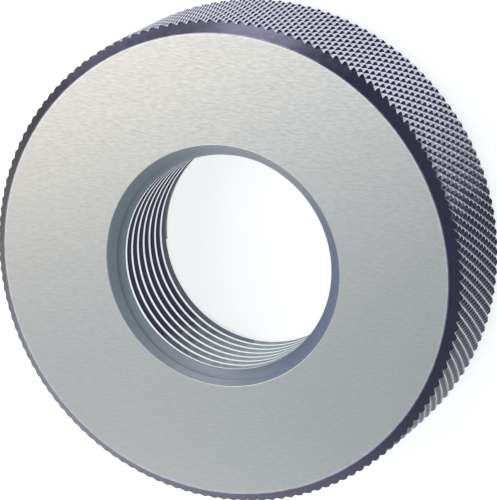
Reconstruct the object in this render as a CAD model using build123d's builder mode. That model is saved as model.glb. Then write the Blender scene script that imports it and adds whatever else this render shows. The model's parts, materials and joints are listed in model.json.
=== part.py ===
import os
from math import cos, radians, sin, tan

from build123d import *

os.makedirs("parts", exist_ok=True)

# A solid thread ring gauge is one hardened steel ring. It lies on its rear face:
# Z runs up the axis of the bore, from the rear face at zero to the front face.

# ring blank, mm
ring_diameter = 63.0
ring_thickness = 18.0
rim_chamfer = 1.5

# metric thread and the 45 degree countersinks at its ends, mm and degrees
thread_major = 30.0
thread_pitch = 2.0
thread_angle = 60.0
crest_share = 5 / 8
front_countersink = 31.4
rear_countersink = 30.1

# diamond knurl, mm and degrees: rows of pyramids left between crossing spiral grooves
knurl_teeth = 147
knurl_rows = 15
knurl_depth = 0.45
right_hand_angle = 29.0

# radii that follow from those
tip_radius = ring_diameter / 2
root_radius = tip_radius - knurl_depth
face_radius = tip_radius - rim_chamfer

# The thread's crests rise this share of the height of a sharp V, and the bore runs over them
sharp_height = thread_pitch / 2 / tan(radians(thread_angle / 2))
bore_radius = thread_major / 2 - crest_share * sharp_height

# The first and last rows of pyramids stand where the chamfers reach the bottom of the grooves.
# row_turn is how far, in teeth, each row stands round the ring from the row behind it.
first_row_height = rim_chamfer - knurl_depth
row_height = (ring_thickness - 2 * first_row_height) / knurl_rows
tooth_width = tip_radius * radians(360 / knurl_teeth)
row_turn = row_height * tan(radians(right_hand_angle)) / tooth_width

# A chamfer cuts a pyramid this share of the way down the ridge from its tip to the next row
cut_share = knurl_depth / (knurl_depth + row_height)
cut_radius = tip_radius - knurl_depth * cut_share


def rim_point(radius, teeth, height):
    """A point at a radius and a height, a number of teeth round the ring."""
    angle = radians(teeth * 360 / knurl_teeth)
    return Vector(radius * cos(angle), radius * sin(angle), height)


def row_point(radius, teeth, row):
    """A point in a row of pyramids, a number of teeth round from the row's first groove."""
    return rim_point(radius, teeth + row * row_turn, first_row_height + row * row_height)


def flat_face(*points):
    return Face(Wire.make_polygon(points))


def whole_pyramid(tooth, row):
    """The four sides of a pyramid, whose corners lie where the grooves cross."""
    tip = row_point(tip_radius, tooth + 0.5, row)
    left, right = row_point(root_radius, tooth, row), row_point(root_radius, tooth + 1, row)
    back, front = row_point(root_radius, tooth + 1, row - 1), row_point(root_radius, tooth, row + 1)
    corners = [left, back, right, front, left]
    return [flat_face(tip, start, end) for start, end in zip(corners, corners[1:])]


def cut_pyramid(tooth, row, inward, face_height):
    """The two sides left of a pyramid at a chamfer, the chamfer's two flats that meet them,
    and the corners of the flats on the ring's face. The flats are 0.002 mm off a cone."""
    left, right = row_point(root_radius, tooth, row), row_point(root_radius, tooth + 1, row)
    inner = row_point(root_radius, tooth + (1 - inward) / 2, row + inward)
    left_teeth = tooth + row * row_turn
    cut_teeth = left_teeth + 0.5 + inward * (row_turn - 0.5) * cut_share
    cut = rim_point(cut_radius, cut_teeth, face_height + inward * (cut_radius - face_radius))
    face_left, face_cut, face_right = [
        rim_point(face_radius, teeth, face_height)
        for teeth in (left_teeth, cut_teeth, left_teeth + 1)
    ]
    sides = [flat_face(cut, inner, left), flat_face(cut, right, inner)]
    flats = [flat_face(cut, left, face_left, face_cut), flat_face(cut, face_cut, face_right, right)]
    return sides + flats, [face_left, face_cut]


# The knurled and chamfered bar, closed by its two end faces
blank_faces = []
for row in range(1, knurl_rows):
    for tooth in range(knurl_teeth):
        blank_faces += whole_pyramid(tooth, row)
for row, inward, face_height in [(0, 1, 0), (knurl_rows, -1, ring_thickness)]:
    end_corners = []
    for tooth in range(knurl_teeth):
        faces, corners = cut_pyramid(tooth, row, inward, face_height)
        blank_faces += faces
        end_corners += corners
    blank_faces.append(flat_face(*end_corners))
knurled_blank = Solid(Shell(blank_faces))

with BuildPart() as gauge_ring:
    add(knurled_blank)
    Hole(bore_radius)
    bore_ends = gauge_ring.edges().filter_by(GeomType.CIRCLE).sort_by(Axis.Z)
    chamfer(bore_ends[-1], front_countersink / 2 - bore_radius)
    bore_ends = gauge_ring.edges().filter_by(GeomType.CIRCLE).sort_by(Axis.Z)
    chamfer(bore_ends[0], rear_countersink / 2 - bore_radius)

gauge_ring.part.label = "gauge_ring"
export_step(gauge_ring.part, "parts/gauge_ring.step")
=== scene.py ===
import bpy
import json
from math import cos, hypot, pi, radians, sin, tan
from mathutils import Matrix, Vector


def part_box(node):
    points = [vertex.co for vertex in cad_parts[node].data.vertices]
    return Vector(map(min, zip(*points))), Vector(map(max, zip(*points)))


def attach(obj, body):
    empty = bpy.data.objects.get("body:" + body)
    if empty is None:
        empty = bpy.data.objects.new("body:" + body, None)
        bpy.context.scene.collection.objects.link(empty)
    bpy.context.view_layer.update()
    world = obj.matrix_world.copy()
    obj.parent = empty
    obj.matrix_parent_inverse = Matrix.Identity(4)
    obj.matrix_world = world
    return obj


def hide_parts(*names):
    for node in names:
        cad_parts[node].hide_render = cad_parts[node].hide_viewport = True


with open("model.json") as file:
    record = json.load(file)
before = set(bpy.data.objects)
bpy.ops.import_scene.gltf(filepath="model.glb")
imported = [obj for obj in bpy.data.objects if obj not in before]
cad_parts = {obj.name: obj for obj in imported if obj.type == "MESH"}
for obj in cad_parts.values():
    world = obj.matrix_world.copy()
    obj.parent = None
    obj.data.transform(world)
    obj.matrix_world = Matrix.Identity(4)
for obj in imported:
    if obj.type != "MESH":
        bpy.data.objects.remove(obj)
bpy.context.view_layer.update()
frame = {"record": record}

mm = 0.001
mergeDistance = 0.0001 * mm
nearDistance = 0.001 * mm

# sizes that the frame gives
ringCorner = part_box("gauge_ring")[1]
rimRadius = ringCorner[0]
ringHeight = ringCorner[2]
boreMount = next(mount for mount in frame["record"]["mounts"] if mount["name"] == "thread_bore")
boreRadius = boreMount["dims"]["r_mm"] * mm


# editing helpers

def only(thing):
    bpy.ops.object.select_all(action="DESELECT")
    thing.select_set(True)
    bpy.context.view_layer.objects.active = thing


def startEditing(thing):
    only(thing)
    bpy.ops.object.mode_set(mode="EDIT")
    bpy.ops.mesh.select_mode(type="VERT")
    bpy.ops.mesh.select_all(action="DESELECT")


def stopEditing():
    bpy.ops.object.mode_set(mode="OBJECT")


def pickVertices(thing, wanted):
    # selects the vertices that pass a test on their place, and stays in edit mode
    startEditing(thing)
    stopEditing()
    for vertex in thing.data.vertices:
        vertex.select = wanted(vertex.co)
    bpy.ops.object.mode_set(mode="EDIT")


def applyModifier(thing, kind, **settings):
    only(thing)
    modifier = thing.modifiers.new(kind.lower(), kind)
    for name, value in settings.items():
        setattr(modifier, name, value)
    bpy.ops.object.modifier_apply(modifier=modifier.name)


def near(a, b):
    return abs(a - b) < nearDistance


def radiusAt(place):
    return hypot(place[0], place[1])


def standingPlane(name, left, right, bottom, top):
    # a rectangle in the XZ plane, to become the half section of something turned
    bpy.ops.object.select_all(action="DESELECT")
    middle = ((left + right) / 2, 0, (bottom + top) / 2)
    bpy.ops.mesh.primitive_plane_add(size=1, location=middle, rotation=(pi / 2, 0, 0))
    plane = bpy.context.object
    plane.name = name
    plane.scale = (right - left, top - bottom, 1)
    bpy.ops.object.transform_apply(location=True, rotation=True, scale=True)
    return plane


# turned blank: flat faces, chamfered rim and countersunk bore

blank = {
    "rimChamfer": 1.5 * mm,
    "overSize": 0.5 * mm,  # so that only the chamfers touch the knurl
    "frontSink": 15.7 * mm,
    "rearSink": 15.05 * mm,
    "edgeBreak": 0.07 * mm,
    "breakSegments": 2,
    "steps": 588,  # four to a knurl tooth
    "smoothAngle": radians(30),
}
faceRadius = rimRadius - blank["rimChamfer"]


def cutCorner(section, x, z, size):
    pickVertices(section, lambda place: near(place.x, x) and near(place.z, z))
    bpy.ops.mesh.bevel(offset=size, offset_type="ABSOLUTE", segments=1, affect="VERTICES")
    stopEditing()


def makeBlank():
    outer = rimRadius + blank["overSize"]
    rimCut = blank["rimChamfer"] + blank["overSize"]
    ring = standingPlane("gaugeRing", boreRadius, outer, 0, ringHeight)
    cutCorner(ring, outer, 0, rimCut)
    cutCorner(ring, outer, ringHeight, rimCut)
    cutCorner(ring, boreRadius, 0, blank["rearSink"] - boreRadius)
    cutCorner(ring, boreRadius, ringHeight, blank["frontSink"] - boreRadius)
    # every edge but the rim's own is broken with a fine round
    pickVertices(ring, lambda place: place.x < outer - 0.5 * blank["overSize"])
    bpy.ops.mesh.bevel(
        offset=blank["edgeBreak"],
        offset_type="ABSOLUTE",
        segments=blank["breakSegments"],
        affect="VERTICES",
    )
    bpy.ops.mesh.select_all(action="SELECT")
    bpy.ops.mesh.delete(type="ONLY_FACE")
    bpy.ops.mesh.select_all(action="SELECT")
    bpy.ops.mesh.spin(steps=blank["steps"], angle=2 * pi, center=(0, 0, 0), axis=(0, 0, 1))
    bpy.ops.mesh.select_all(action="SELECT")
    bpy.ops.mesh.remove_doubles(threshold=mergeDistance)
    bpy.ops.mesh.normals_make_consistent(inside=False)
    stopEditing()
    return ring


# knurled bar: one pyramid, repeated round the rim and then up it

knurl = {
    "teeth": 147,
    "rows": 15,
    "depth": 0.45 * mm,
    "rightHandAngle": radians(29),
    "tipBreak": 0.10 * mm,
    "ridgeBreak": 0.035 * mm,
    "sharpestKept": radians(15),
    "spareRows": 2,  # past each chamfer, cut away later
    "overhang": 0.6 * mm,
    "mergeDistance": 0.002 * mm,
}


def makePyramid(toothAngle, rowAngle, rowHeight):
    # corners lie where the grooves cross, a little off square because the rows are staggered
    rootRadius = rimRadius - knurl["depth"]
    firstRow = blank["rimChamfer"] - knurl["depth"]
    startAngle = toothAngle / 2 - knurl["spareRows"] * rowAngle
    startHeight = firstRow - knurl["spareRows"] * rowHeight
    bpy.ops.object.select_all(action="DESELECT")
    bpy.ops.mesh.primitive_cone_add(
        vertices=4, radius1=1, radius2=0, depth=1, end_fill_type="NOTHING", rotation=(0, pi / 2, 0)
    )
    pyramid = bpy.context.object
    pyramid.name = "knurlBar"
    bpy.ops.object.transform_apply(location=False, rotation=True, scale=False)
    for vertex in pyramid.data.vertices:
        side, rise = round(vertex.co.y), round(vertex.co.z)
        isTip = side == 0 and rise == 0
        radius = rimRadius if isTip else rootRadius
        angle = startAngle + side * toothAngle / 2 + rise * (rowAngle - toothAngle / 2)
        vertex.co = (radius * cos(angle), radius * sin(angle), startHeight + rise * rowHeight)
    pickVertices(pyramid, lambda place: radiusAt(place) > rimRadius - knurl["depth"] / 2)
    bpy.ops.mesh.bevel(
        offset=knurl["tipBreak"], offset_type="ABSOLUTE", segments=1, affect="VERTICES"
    )
    stopEditing()
    return pyramid


def repeatRound(thing, count, turn, rise):
    # each repeat turns about the bore's axis and climbs it
    bpy.ops.object.select_all(action="DESELECT")
    bpy.ops.object.empty_add(location=(0, 0, rise), rotation=(0, 0, turn))
    step = bpy.context.object
    applyModifier(
        thing,
        "ARRAY",
        count=count,
        use_relative_offset=False,
        use_object_offset=True,
        offset_object=step,
        use_merge_vertices=True,
        merge_threshold=knurl["mergeDistance"],
    )
    bpy.data.objects.remove(step)


def makeKnurlBar():
    toothAngle = 2 * pi / knurl["teeth"]
    firstRow = blank["rimChamfer"] - knurl["depth"]
    rowHeight = (ringHeight - 2 * firstRow) / knurl["rows"]
    rowAngle = rowHeight * tan(knurl["rightHandAngle"]) / rimRadius
    bar = makePyramid(toothAngle, rowAngle, rowHeight)
    repeatRound(bar, knurl["teeth"], toothAngle, 0)
    repeatRound(bar, knurl["rows"] + 1 + 2 * knurl["spareRows"], rowAngle, rowHeight)
    startEditing(bar)
    bpy.ops.mesh.select_all(action="SELECT")
    bpy.ops.mesh.remove_doubles(threshold=knurl["mergeDistance"])
    bpy.ops.mesh.normals_make_consistent(inside=False)
    stopEditing()
    applyModifier(
        bar,
        "BEVEL",
        width=knurl["ridgeBreak"],
        segments=1,
        limit_method="ANGLE",
        angle_limit=knurl["sharpestKept"],
    )
    # square ends, just past the ring's faces
    startEditing(bar)
    for height, outward in [(-knurl["overhang"], -1), (ringHeight + knurl["overhang"], 1)]:
        bpy.ops.mesh.select_all(action="SELECT")
        bpy.ops.mesh.bisect(
            plane_co=(0, 0, height), plane_no=(0, 0, outward), use_fill=True, clear_outer=True
        )
    bpy.ops.mesh.select_all(action="SELECT")
    bpy.ops.mesh.normals_make_consistent(inside=False)
    stopEditing()
    return bar


# thread: the groove's section, swept up a right-hand helix from below the ring to above it

thread = {
    "majorRadius": 15.0 * mm,
    "pitch": 2.0 * mm,
    "mouthWidth": 1.5 * mm,
    "rootWidth": 0.25 * mm,
    "innerRadius": 13.6 * mm,
    "firstGroove": -1.435 * mm,
    "turns": 11,
    "stepsPerTurn": 196,
    "startStep": 80,  # of stepsPerTurn, and a whole number of knurl teeth
}


def makeThreadCutter():
    middle = thread["firstGroove"]
    slope = (thread["mouthWidth"] - thread["rootWidth"]) / (thread["majorRadius"] - boreRadius)
    innerWidth = thread["rootWidth"] + slope * (thread["majorRadius"] - thread["innerRadius"])
    cutter = standingPlane(
        "threadCutter",
        thread["innerRadius"],
        thread["majorRadius"],
        middle - innerWidth / 2,
        middle + innerWidth / 2,
    )
    pickVertices(cutter, lambda place: near(place.x, thread["majorRadius"]))
    narrowing = thread["rootWidth"] / innerWidth
    bpy.ops.transform.resize(value=(1, 1, narrowing), center_override=(0, 0, middle))
    bpy.ops.mesh.select_all(action="SELECT")
    bpy.ops.mesh.delete(type="ONLY_FACE")
    stopEditing()
    applyModifier(
        cutter,
        "SCREW",
        axis="Z",
        angle=2 * pi,
        screw_offset=thread["pitch"],
        iterations=thread["turns"],
        steps=thread["stepsPerTurn"],
        render_steps=thread["stepsPerTurn"],
    )
    startEditing(cutter)
    bpy.ops.mesh.select_all(action="SELECT")
    bpy.ops.mesh.remove_doubles(threshold=mergeDistance)
    bpy.ops.mesh.select_all(action="DESELECT")
    bpy.ops.mesh.select_non_manifold(
        extend=False,
        use_wire=False,
        use_multi_face=False,
        use_non_contiguous=False,
        use_verts=False,
    )
    bpy.ops.mesh.edge_face_add()
    bpy.ops.mesh.select_all(action="SELECT")
    bpy.ops.mesh.normals_make_consistent(inside=False)
    stopEditing()
    cutter.rotation_euler.z = 2 * pi * thread["startStep"] / thread["stepsPerTurn"]
    bpy.ops.object.transform_apply(location=False, rotation=True, scale=False)
    return cutter


def cutWith(thing, tool, operation):
    applyModifier(thing, "BOOLEAN", operation=operation, object=tool, solver="EXACT")
    bpy.data.objects.remove(tool)


def makeRing():
    ring = makeBlank()
    print("blank turned")
    cutWith(ring, makeThreadCutter(), "DIFFERENCE")
    print("thread cut")
    cutWith(ring, makeKnurlBar(), "INTERSECT")
    print("rim knurled")
    startEditing(ring)
    bpy.ops.mesh.select_all(action="SELECT")
    bpy.ops.mesh.dissolve_degenerate(threshold=mergeDistance)
    bpy.ops.mesh.select_all(action="SELECT")
    bpy.ops.mesh.normals_make_consistent(inside=False)
    stopEditing()
    only(ring)
    bpy.ops.object.shade_smooth_by_angle(angle=blank["smoothAngle"])
    applyModifier(ring, "WEIGHTED_NORMAL", keep_sharp=True)
    return ring


# shader node groups, shared by the finishes

# each pattern's inputs and where they start, lengths in millimetres
patterns = {
    "grinding": {"Per mm": 4.6, "Stretch": 4.0, "Detail": 2.5},
    "turnedMarks": {"Per mm": 9.0, "Climb": 0.37, "Waver": 0.05},
    "speckle": {"Per mm": 5.0, "Detail": 3.0},
    "edgeHighlightBand": {"Edge radius": 30.0, "Width": 0.15, "Narrowest": 0.5, "Widest": 1.3},
    "highSpots": {"Groove radius": 31.05, "Tip radius": 31.5},
    "facing": {"Round": 1.0, "Up": 0.0, "Dark below": -0.02, "Light above": 0.14},
    "broadPatch": {"Along X": 0.0, "Along Y": 1.0, "From": 8.0, "To": 26.0, "Ragged": 5.0},
}

# between which values most of a noise lies
fineSpan = (0.35, 0.65)
coarseSpan = (0.3, 0.7)


def newGroup(name):
    group = bpy.data.node_groups.new(name, "ShaderNodeTree")
    for label, start in patterns[name].items():
        socket = group.interface.new_socket(label, in_out="INPUT", socket_type="NodeSocketFloat")
        socket.default_value = start
    group.interface.new_socket("Mask", in_out="OUTPUT", socket_type="NodeSocketFloat")
    entry = group.nodes.new("NodeGroupInput")
    leave = group.nodes.new("NodeGroupOutput")
    return group, entry.outputs, leave.inputs["Mask"]


def connect(tree, value, socket):
    # a number or a colour is set on the socket itself, anything else is linked to it
    if isinstance(value, (int, float)):
        socket.default_value = value
    elif isinstance(value, tuple):
        socket.default_value = (*value, 1.0)
    else:
        tree.links.new(value, socket)


def addMath(tree, operation, first, second=0.0):
    node = tree.nodes.new("ShaderNodeMath")
    node.operation = operation
    connect(tree, first, node.inputs[0])
    connect(tree, second, node.inputs[1])
    return node.outputs[0]


def mapRange(tree, value, low, high, toLow=0.0, toHigh=1.0):
    node = tree.nodes.new("ShaderNodeMapRange")
    connect(tree, value, node.inputs["Value"])
    connect(tree, low, node.inputs["From Min"])
    connect(tree, high, node.inputs["From Max"])
    connect(tree, toLow, node.inputs["To Min"])
    connect(tree, toHigh, node.inputs["To Max"])
    return node.outputs[0]


def addNoise(tree, place, detail, dimensions="3D"):
    # the place is already counted in noise cells
    noise = tree.nodes.new("ShaderNodeTexNoise")
    noise.noise_dimensions = dimensions
    noise.inputs["Scale"].default_value = 1.0
    connect(tree, detail, noise.inputs["Detail"])
    tree.links.new(place, noise.inputs["W" if dimensions == "1D" else "Vector"])
    return noise.outputs[0]


def objectPlace(tree):
    # the place on the ring along X, Y and Z, in millimetres
    place = tree.nodes.new("ShaderNodeTexCoord")
    split = tree.nodes.new("ShaderNodeSeparateXYZ")
    tree.links.new(place.outputs["Object"], split.inputs[0])
    return [addMath(tree, "DIVIDE", split.outputs[axis], mm) for axis in "XYZ"]


def joinPlace(tree, x, y, z):
    join = tree.nodes.new("ShaderNodeCombineXYZ")
    for value, socket in zip((x, y, z), join.inputs):
        tree.links.new(value, socket)
    return join.outputs[0]


def radiusOf(tree, x, y):
    square = addMath(tree, "ADD", addMath(tree, "POWER", x, 2.0), addMath(tree, "POWER", y, 2.0))
    return addMath(tree, "SQRT", square)


def makeGrinding():
    # short straight scratches of a surface grinder, all along X
    group, entry, mask = newGroup("grinding")
    x, y, z = objectPlace(group)
    across = entry["Per mm"]
    along = addMath(group, "DIVIDE", across, entry["Stretch"])
    place = joinPlace(
        group,
        addMath(group, "MULTIPLY", x, along),
        addMath(group, "MULTIPLY", y, across),
        addMath(group, "MULTIPLY", z, across),
    )
    group.links.new(addNoise(group, place, entry["Detail"]), mask)
    return group


def makeTurnedMarks():
    # fine rings left by the lathe, a little uneven on their way round
    group, entry, mask = newGroup("turnedMarks")
    x, y, z = objectPlace(group)
    climb = addMath(group, "MULTIPLY", z, entry["Climb"])
    across = addMath(group, "ADD", radiusOf(group, x, y), climb)
    waver = addNoise(group, joinPlace(group, x, y, z), 1.0)
    waver = addMath(group, "MULTIPLY", waver, entry["Waver"])
    place = addMath(group, "MULTIPLY", addMath(group, "ADD", across, waver), entry["Per mm"])
    group.links.new(addNoise(group, place, 2.0, "1D"), mask)
    return group


def makeSpeckle():
    # fine grain of hardened steel, the same in every direction
    group, entry, mask = newGroup("speckle")
    x, y, z = [addMath(group, "MULTIPLY", way, entry["Per mm"]) for way in objectPlace(group)]
    group.links.new(addNoise(group, joinPlace(group, x, y, z), entry["Detail"]), mask)
    return group


def makeEdgeHighlightBand():
    # 1 along a turned edge of a given radius, fading out unevenly to both sides
    group, entry, mask = newGroup("edgeHighlightBand")
    x, y, z = objectPlace(group)
    offset = addMath(group, "SUBTRACT", radiusOf(group, x, y), entry["Edge radius"])
    uneven = addNoise(group, joinPlace(group, x, y, z), 3.0)
    uneven = mapRange(group, uneven, *coarseSpan, entry["Narrowest"], entry["Widest"])
    width = addMath(group, "MULTIPLY", uneven, entry["Width"])
    fade = mapRange(group, addMath(group, "ABSOLUTE", offset), 0.0, width, 1.0, 0.0)
    group.links.new(fade, mask)
    return group


def makeHighSpots():
    # 0 at the radius of the grooves and 1 at that of the tips or crests
    group, entry, mask = newGroup("highSpots")
    x, y = objectPlace(group)[:2]
    rise = mapRange(group, radiusOf(group, x, y), entry["Groove radius"], entry["Tip radius"])
    group.links.new(rise, mask)
    return group


def makeFacing():
    # 1 where the surface leans round the ring and up it by the given shares, 0 where it leans away
    group, entry, mask = newGroup("facing")
    x, y = objectPlace(group)[:2]
    place = group.nodes.new("ShaderNodeTexCoord")
    normal = group.nodes.new("ShaderNodeSeparateXYZ")
    group.links.new(place.outputs["Normal"], normal.inputs[0])
    turn = addMath(
        group,
        "SUBTRACT",
        addMath(group, "MULTIPLY", normal.outputs["Y"], x),
        addMath(group, "MULTIPLY", normal.outputs["X"], y),
    )
    turn = addMath(group, "DIVIDE", turn, radiusOf(group, x, y))
    turn = addMath(group, "MULTIPLY", turn, entry["Round"])
    rise = addMath(group, "MULTIPLY", normal.outputs["Z"], entry["Up"])
    lean = addMath(group, "ADD", turn, rise)
    group.links.new(mapRange(group, lean, entry["Dark below"], entry["Light above"]), mask)
    return group


def makeBroadPatch():
    # 1 towards one side of the ring and 0 towards the other, with a ragged border between them
    group, entry, mask = newGroup("broadPatch")
    x, y, z = objectPlace(group)
    ragged = mapRange(group, addNoise(group, joinPlace(group, x, y, z), 2.0), *coarseSpan, -0.5, 0.5)
    reach = addMath(
        group,
        "ADD",
        addMath(group, "MULTIPLY", x, entry["Along X"]),
        addMath(group, "MULTIPLY", y, entry["Along Y"]),
    )
    reach = addMath(group, "ADD", reach, addMath(group, "MULTIPLY", ragged, entry["Ragged"]))
    group.links.new(mapRange(group, reach, entry["From"], entry["To"]), mask)
    return group


groups = {
    "grinding": makeGrinding(),
    "turnedMarks": makeTurnedMarks(),
    "speckle": makeSpeckle(),
    "edgeHighlightBand": makeEdgeHighlightBand(),
    "highSpots": makeHighSpots(),
    "facing": makeFacing(),
    "broadPatch": makeBroadPatch(),
}


# steel finishes

def useGroup(tree, name, settings=None):
    node = tree.nodes.new("ShaderNodeGroup")
    node.node_tree = groups[name]
    for label, value in (settings or {}).items():
        node.inputs[label].default_value = value
    return node.outputs["Mask"]


def mixColours(tree, mask, low, high):
    mix = tree.nodes.new("ShaderNodeMix")
    mix.data_type = "RGBA"
    connect(tree, mask, mix.inputs["Factor"])
    # by number, because the node's number and colour sockets share their names
    connect(tree, low, mix.inputs[6])
    connect(tree, high, mix.inputs[7])
    return mix.outputs[2]


def layPatch(tree, body, patch, colour):
    # a second colour over one side of the ring
    return mixColours(tree, useGroup(tree, "broadPatch", patch), body, colour)


# a painted highlight along a turned edge, a lighter line fading out to both sides
def layEdgeHighlight(tree, body, edgeRadius, look):
    highlightBand = useGroup(tree, "edgeHighlightBand", {"Edge radius": edgeRadius / mm, "Width": look["edgeHighlightWidth"]})
    return mixColours(tree, highlightBand, body, look["edgeHighlight"])


def makeFinish(name, colour, roughness, bump, bumpHeight, metallic=1.0):
    # the first three are functions, because their nodes live in the material's own tree
    material = bpy.data.materials.new(name)
    material.use_nodes = True
    tree = material.node_tree
    shader = tree.nodes["Principled BSDF"]
    shader.inputs["Metallic"].default_value = metallic
    tree.links.new(colour(tree), shader.inputs["Base Color"])
    tree.links.new(roughness(tree), shader.inputs["Roughness"])
    relief = tree.nodes.new("ShaderNodeBump")
    relief.inputs["Distance"].default_value = bumpHeight
    tree.links.new(bump(tree), relief.inputs["Height"])
    tree.links.new(relief.outputs[0], shader.inputs["Normal"])
    return material


groundFace = {
    "dark": (0.54, 0.55, 0.55),
    "light": (0.625, 0.63, 0.625),
    # painted warm light: a warmer tint over the side of the face towards -X and +Y
    "warmLight": (0.68, 0.62, 0.55),
    "warmLightShare": 0.40,
    "warmLightPatch": {"Along X": -0.7, "Along Y": 0.7, "From": 6.0, "To": 28.0, "Ragged": 8.0},
    # painted highlight along the face's outer edge
    "edgeHighlight": (0.74, 0.72, 0.80),
    "edgeHighlightWidth": 0.40,
    "smoothest": 0.225,
    "roughest": 0.255,
    "grainHeight": 0.00003 * mm,
}


def makeGroundSteel():
    def colour(tree):
        grain = mapRange(tree, useGroup(tree, "grinding"), *fineSpan)
        body = mixColours(tree, grain, groundFace["dark"], groundFace["light"])
        # painted warm light on one side of the face
        warmLight = useGroup(tree, "broadPatch", groundFace["warmLightPatch"])
        warmLight = addMath(tree, "MULTIPLY", warmLight, groundFace["warmLightShare"])
        body = mixColours(tree, warmLight, body, groundFace["warmLight"])
        return layEdgeHighlight(tree, body, faceRadius, groundFace)

    def roughness(tree):
        grain = useGroup(tree, "grinding")
        return mapRange(tree, grain, *fineSpan, groundFace["roughest"], groundFace["smoothest"])

    def bump(tree):
        return useGroup(tree, "grinding")

    return makeFinish("groundSteel", colour, roughness, bump, groundFace["grainHeight"])


rimChamfer = {
    "dark": (0.082, 0.074, 0.122),
    "light": (0.104, 0.094, 0.150),
    # painted shade over the side of the chamfer towards -X
    "shadedSide": (0.034, 0.032, 0.040),
    "shadedSidePatch": {"Along X": -1.0, "Along Y": 0.2, "From": 20.0, "To": 30.0},
    # painted light over the side of the chamfer towards +Y
    "litSide": (0.20, 0.19, 0.26),
    "litSidePatch": {"Along X": -0.1, "From": 24.0, "To": 31.0, "Ragged": 3.0},
    # painted highlight along the chamfer's edge with the face
    "edgeHighlight": (0.45, 0.44, 0.52),
    "edgeHighlightWidth": 0.10,
    "smoothest": 0.24,
    "roughest": 0.30,
    "markHeight": 0.0002 * mm,
}


def makeChamferSteel():
    def colour(tree):
        marks = mapRange(tree, useGroup(tree, "turnedMarks"), *coarseSpan)
        body = mixColours(tree, marks, rimChamfer["dark"], rimChamfer["light"])
        # painted shade on the side towards -X
        body = layPatch(tree, body, rimChamfer["shadedSidePatch"], rimChamfer["shadedSide"])
        # painted light on the side towards +Y
        body = layPatch(tree, body, rimChamfer["litSidePatch"], rimChamfer["litSide"])
        return layEdgeHighlight(tree, body, faceRadius, rimChamfer)

    def roughness(tree):
        marks = useGroup(tree, "turnedMarks")
        return mapRange(tree, marks, *coarseSpan, rimChamfer["roughest"], rimChamfer["smoothest"])

    def bump(tree):
        return useGroup(tree, "turnedMarks")

    return makeFinish("chamferSteel", colour, roughness, bump, rimChamfer["markHeight"])


countersink = {
    "metallic": 0.4,
    "dark": (0.44, 0.46, 0.505),
    "light": (0.48, 0.50, 0.55),
    # painted highlight over the side of the countersink towards +Y
    "sinkHighlight": (0.70, 0.71, 0.77),
    "sinkHighlightPatch": {"Along X": 0.2, "Along Y": 1.0, "From": 8.0, "To": 16.0, "Ragged": 2.0},
    "shaded": (0.36, 0.385, 0.41),
    "shadedPatch": {"Along X": -1.0, "Along Y": 0.25, "From": 4.0, "To": 14.0, "Ragged": 2.0},
    # bluer and darker towards +X
    "bluish": (0.35, 0.39, 0.56),
    "bluishPatch": {"Along X": 1.0, "Along Y": -0.3, "From": 6.0, "To": 14.0, "Ragged": 2.0},
    # painted highlight along the countersink's edge with the face
    "edgeHighlight": (0.50, 0.51, 0.56),
    "edgeHighlightWidth": 0.10,
    "smoothest": 0.40,
    "roughest": 0.46,
    "markHeight": 0.0002 * mm,
}


def makeSinkSteel():
    def colour(tree):
        marks = mapRange(tree, useGroup(tree, "turnedMarks"), *coarseSpan)
        body = mixColours(tree, marks, countersink["dark"], countersink["light"])
        # painted highlight on the side towards +Y
        body = layPatch(tree, body, countersink["sinkHighlightPatch"], countersink["sinkHighlight"])
        body = layPatch(tree, body, countersink["shadedPatch"], countersink["shaded"])
        # bluer and darker towards +X
        body = layPatch(tree, body, countersink["bluishPatch"], countersink["bluish"])
        return layEdgeHighlight(tree, body, blank["frontSink"], countersink)

    def roughness(tree):
        marks = useGroup(tree, "turnedMarks")
        return mapRange(tree, marks, *coarseSpan, countersink["roughest"], countersink["smoothest"])

    def bump(tree):
        return useGroup(tree, "turnedMarks")

    height = countersink["markHeight"]
    return makeFinish("countersinkSteel", colour, roughness, bump, height, countersink["metallic"])


# the grooves and flanks are painted dark as painted shade, with a painted reflection over the flanks
# on one side
# a rise is the pair of heights between which a colour comes in, 0 at the grooves and 1 at the crests
threadFinish = {
    # painted shade, darkest at the groove roots and lightening up the flanks
    "groove": (0.016, 0.015, 0.028),
    "flank": (0.115, 0.112, 0.145),
    "flankRise": (0.0, 0.8),
    # painted reflection over the flanks towards -Y and +X
    "flankReflection": (0.78, 0.80, 0.80),
    "flankReflectionPatch": {"Along X": 0.5, "Along Y": -1.0, "From": 6.0, "To": 15.0, "Ragged": 3.0},
    # painted highlight along the crests
    "crest": (0.95, 0.95, 0.97),
    "crestRise": (0.955, 0.985),
    "smoothest": 0.18,
    "roughest": 0.32,
    "shineRise": (0.3, 1.0),
    "grainHeight": 0.0008 * mm,
}


def makeThreadSteel():
    def spots(tree):
        radii = {"Groove radius": thread["majorRadius"] / mm, "Tip radius": boreRadius / mm}
        return useGroup(tree, "highSpots", radii)

    def colour(tree):
        # painted shade in the grooves and on the flanks
        rise = spots(tree)
        flankMask = mapRange(tree, rise, *threadFinish["flankRise"])
        flank = mixColours(tree, flankMask, threadFinish["groove"], threadFinish["flank"])
        # painted reflection on one side
        flank = layPatch(tree, flank, threadFinish["flankReflectionPatch"], threadFinish["flankReflection"])
        # painted highlight along the crests
        crestMask = mapRange(tree, rise, *threadFinish["crestRise"])
        return mixColours(tree, crestMask, flank, threadFinish["crest"])

    def roughness(tree):
        span = threadFinish["shineRise"]
        return mapRange(tree, spots(tree), *span, threadFinish["roughest"], threadFinish["smoothest"])

    def bump(tree):
        return useGroup(tree, "speckle")

    return makeFinish("threadSteel", colour, roughness, bump, threadFinish["grainHeight"])


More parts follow.
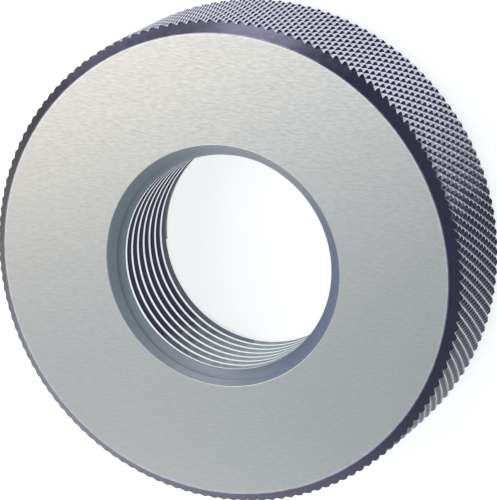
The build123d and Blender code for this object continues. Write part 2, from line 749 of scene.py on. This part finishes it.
# the flanks that look down take a painted reflection, dimmer on one side, and the others a near-black
# painted shade, with painted light and highlights on the tips and leading flanks; a leading flank
# looks anticlockwise round the ring, seen from the front
knurlFinish = {
    "leadingSide": {"Round": 1.0, "Up": 0.0},
    "downSide": {"Round": 0.3, "Up": -1.0},
    # painted shade: near black on the flanks that don't look down, a little lighter on the leading
    # ones
    "knurlShade": (0.004, 0.005, 0.018),
    "leadingShade": (0.016, 0.018, 0.044),
    # painted light on the tips and leading flanks towards +Y, brightest on the highest tips
    "litSide": (0.58, 0.575, 0.74),
    "tip": (0.84, 0.84, 0.99),
    "tipRise": (0.5, 0.95),
    "openRise": (0.62, 0.82),
    "litKnurlPatch": {"From": 8.0, "To": 23.0},
    # painted highlight on the highest tips, coming in towards +Y
    "streakRise": (0.72, 0.92),
    "streakPatch": {"From": -6.0, "To": 6.0},
    # painted highlight on the tips towards -Y
    "lowerTipHighlight": (0.44, 0.43, 0.53),
    "lowerTipRise": (0.55, 0.85),
    "lowerTipPatch": {"Along Y": -1.0, "From": 2.0, "To": 18.0},
    # painted reflection on the flanks that look down, dimmer towards -Y
    "downFlankDim": (0.33, 0.325, 0.39),
    "downFlankReflection": (0.93, 0.935, 1.0),
    "downFlankReflectionPatch": {"From": -22.0, "To": -6.0},
    "smoothest": 0.25,
    "roughest": 0.40,
    "shineRise": (0.1, 0.9),
    "grainHeight": 0.001 * mm,
}


def makeKnurlSteel():
    def spots(tree):
        radii = {"Groove radius": (rimRadius - knurl["depth"]) / mm, "Tip radius": rimRadius / mm}
        return useGroup(tree, "highSpots", radii)

    def patchOnTips(tree, rise, span, patch):
        side = useGroup(tree, "broadPatch", patch)
        return addMath(tree, "MULTIPLY", side, mapRange(tree, rise, *span))

    def upperColour(tree, rise):
        # painted shade, a little lighter on the leading flanks
        leading = useGroup(tree, "facing", knurlFinish["leadingSide"])
        body = mixColours(tree, leading, knurlFinish["knurlShade"], knurlFinish["leadingShade"])
        tipMask = mapRange(tree, rise, *knurlFinish["tipRise"])
        litSide = mixColours(tree, tipMask, knurlFinish["litSide"], knurlFinish["tip"])
        # painted light on the tips and leading flanks towards +Y
        leadingAndTips = addMath(tree, "MAXIMUM", leading, mapRange(tree, rise, *knurlFinish["openRise"]))
        litHalf = useGroup(tree, "broadPatch", knurlFinish["litKnurlPatch"])
        body = mixColours(tree, addMath(tree, "MULTIPLY", leadingAndTips, litHalf), body, litSide)
        # painted highlight on the highest tips towards +Y
        tipStreaks = patchOnTips(tree, rise, knurlFinish["streakRise"], knurlFinish["streakPatch"])
        body = mixColours(tree, tipStreaks, body, knurlFinish["tip"])
        # painted highlight on the tips towards -Y
        lowerTips = patchOnTips(tree, rise, knurlFinish["lowerTipRise"], knurlFinish["lowerTipPatch"])
        return mixColours(tree, lowerTips, body, knurlFinish["lowerTipHighlight"])

    def colour(tree):
        upper = upperColour(tree, spots(tree))
        # painted reflection on the flanks that look down, dimmer towards -Y
        reflectingSide = useGroup(tree, "broadPatch", knurlFinish["downFlankReflectionPatch"])
        lower = mixColours(tree, reflectingSide, knurlFinish["downFlankDim"], knurlFinish["downFlankReflection"])
        return mixColours(tree, useGroup(tree, "facing", knurlFinish["downSide"]), upper, lower)

    def roughness(tree):
        span = knurlFinish["shineRise"]
        return mapRange(tree, spots(tree), *span, knurlFinish["roughest"], knurlFinish["smoothest"])

    def bump(tree):
        return useGroup(tree, "speckle")

    return makeFinish("knurlSteel", colour, roughness, bump, knurlFinish["grainHeight"])


makers = {
    "face": makeGroundSteel,
    "chamfer": makeChamferSteel,
    "countersink": makeSinkSteel,
    "thread": makeThreadSteel,
    "knurl": makeKnurlSteel,
}

# how finishOf tells one surface from the next
sorting = {
    "flatNormal": 0.95,
    "faceInset": 1.2,  # from the rim, times its chamfer
    "threadSlack": 0.01 * mm,
    "upwardNormal": 0.3,
    "runOutDepth": 1.5,  # times the countersink's depth
    "coneNormal": 0.05,
    "coneSlack": 0.03 * mm,
    "edgeRound": 0.06 * mm,
}


def finishOf(face):
    # which finish a face of the ring takes, from its place and the way it points
    radius = radiusAt(face.center)
    upright = abs(face.normal.z)
    fromEnd = min(face.center.z, ringHeight - face.center.z)
    if upright > sorting["flatNormal"] and radius > boreRadius:
        if near(fromEnd, 0) or radius < rimRadius - sorting["faceInset"] * blank["rimChamfer"]:
            return "face"
    if radius < thread["majorRadius"] + sorting["threadSlack"]:
        # the thread runs out through the countersink and takes its finish there
        sinkDepth = blank["frontSink"] - boreRadius
        looksUp = face.normal.z > sorting["upwardNormal"]
        isRunOut = looksUp and fromEnd < sorting["runOutDepth"] * sinkDepth
        return "countersink" if isRunOut or fromEnd < sinkDepth else "thread"
    if radius < (boreRadius + faceRadius) / 2:
        return "countersink"
    isNearCone = abs(radius - faceRadius - fromEnd) < sorting["coneSlack"]
    onCone = isNearCone and abs(upright - cos(pi / 4)) < sorting["coneNormal"]
    if onCone or radius < faceRadius + sorting["edgeRound"]:
        return "chamfer"
    return "knurl"


def paintRing(ring):
    finishes = list(makers)
    for makeSteel in makers.values():
        ring.data.materials.append(makeSteel())
    for face in ring.data.polygons:
        face.material_index = finishes.index(finishOf(face))


ring = makeRing()
paintRing(ring)
print("finishes given")
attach(ring, "root")
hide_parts("gauge_ring")


# floor, lamps and camera

floorLook = {
    "size": 3.0,
    "colour": (0.65, 0.65, 0.65),
    "roughness": 1.0,
    "specular": 0.0,
    "glow": 0.76,  # seen and mirrored, but it throws no light
}


def makeFloor():
    bpy.ops.object.select_all(action="DESELECT")
    bpy.ops.mesh.primitive_plane_add(size=floorLook["size"], location=(0, 0, 0))
    floor = bpy.context.object
    floor.name = "floor"
    material = bpy.data.materials.new("paleFloor")
    material.use_nodes = True
    tree = material.node_tree
    shader = tree.nodes["Principled BSDF"]
    shader.inputs["Base Color"].default_value = (*floorLook["colour"], 1.0)
    shader.inputs["Roughness"].default_value = floorLook["roughness"]
    shader.inputs["Specular IOR Level"].default_value = floorLook["specular"]
    shader.inputs["Emission Color"].default_value = (1, 1, 1, 1)
    path = tree.nodes.new("ShaderNodeLightPath")
    seen = addMath(tree, "MAXIMUM", path.outputs["Is Camera Ray"], path.outputs["Is Glossy Ray"])
    seen = addMath(tree, "MAXIMUM", seen, path.outputs["Is Transmission Ray"])
    glow = addMath(tree, "MULTIPLY", seen, floorLook["glow"])
    tree.links.new(glow, shader.inputs["Emission Strength"])
    floor.data.materials.append(material)


# brightness is what a perfect mirror would show of the lamp
lamps = {
    "keySoftbox": {
        "azimuth": 164,
        "elevation": 63,
        "distance": 0.9,
        "across": 0.65,
        "brightness": 1.45,
        "colour": (1.0, 0.95, 0.885),
    },
    "fillSoftbox": {
        "azimuth": 100,
        "elevation": 20,
        "distance": 0.9,
        "across": 0.46,
        "brightness": 1.3,
        "colour": (0.98, 0.97, 1.0),
    },
    "lowSoftbox": {
        "azimuth": 237,
        "elevation": 46,
        "distance": 0.9,
        "across": 0.42,
        "brightness": 2.15,
        "colour": (1.0, 0.975, 0.93),
    },
}


def direction(azimuth, elevation):
    turn, rise = radians(azimuth), radians(elevation)
    return Vector((cos(rise) * cos(turn), cos(rise) * sin(turn), sin(rise)))


def makeLamps():
    for name, look in lamps.items():
        bpy.ops.object.light_add(type="AREA")
        lamp = bpy.context.object
        lamp.name = name
        lamp.data.shape = "DISK"
        lamp.data.size = look["across"]
        lamp.data.color = look["colour"]
        lamp.data.energy = look["brightness"] * pi * pi * (look["across"] / 2) ** 2
        away = direction(look["azimuth"], look["elevation"])
        lamp.location = away * look["distance"]
        lamp.rotation_euler = away.to_track_quat("Z", "Y").to_euler()


roomColour = (0.335, 0.38, 0.415)


def makeWorld():
    world = bpy.data.worlds.new("studio")
    world.use_nodes = True
    world.node_tree.nodes["Background"].inputs["Color"].default_value = (*roomColour, 1)
    bpy.context.scene.world = world


# the camera stands 65 degrees up, over the near side of the rim, and is rolled over
view = {
    "target": (3.60 * mm, 2.47 * mm, 18.0 * mm),
    "azimuth": 36.494,
    "elevation": 65.297,
    "distance": 493.18 * mm,
    "roll": -123.905,
    "lens": 281.97,
    "sensorWidth": 36,
    "clipStart": 0.01,
}


def makeCamera():
    bpy.ops.object.camera_add()
    camera = bpy.context.object
    camera.data.sensor_width = view["sensorWidth"]
    camera.data.lens = view["lens"]
    camera.data.clip_start = view["clipStart"]
    away = direction(view["azimuth"], view["elevation"])
    place = Vector(view["target"]) + away * view["distance"]
    turn = away.to_track_quat("Z", "Y").to_matrix().to_4x4()
    roll = Matrix.Rotation(radians(view["roll"]), 4, "Z")
    camera.matrix_world = Matrix.Translation(place) @ turn @ roll
    bpy.context.scene.camera = camera


makeFloor()
makeLamps()
makeWorld()
makeCamera()
bpy.context.scene.view_settings.view_transform = "Standard"
print("studio set")
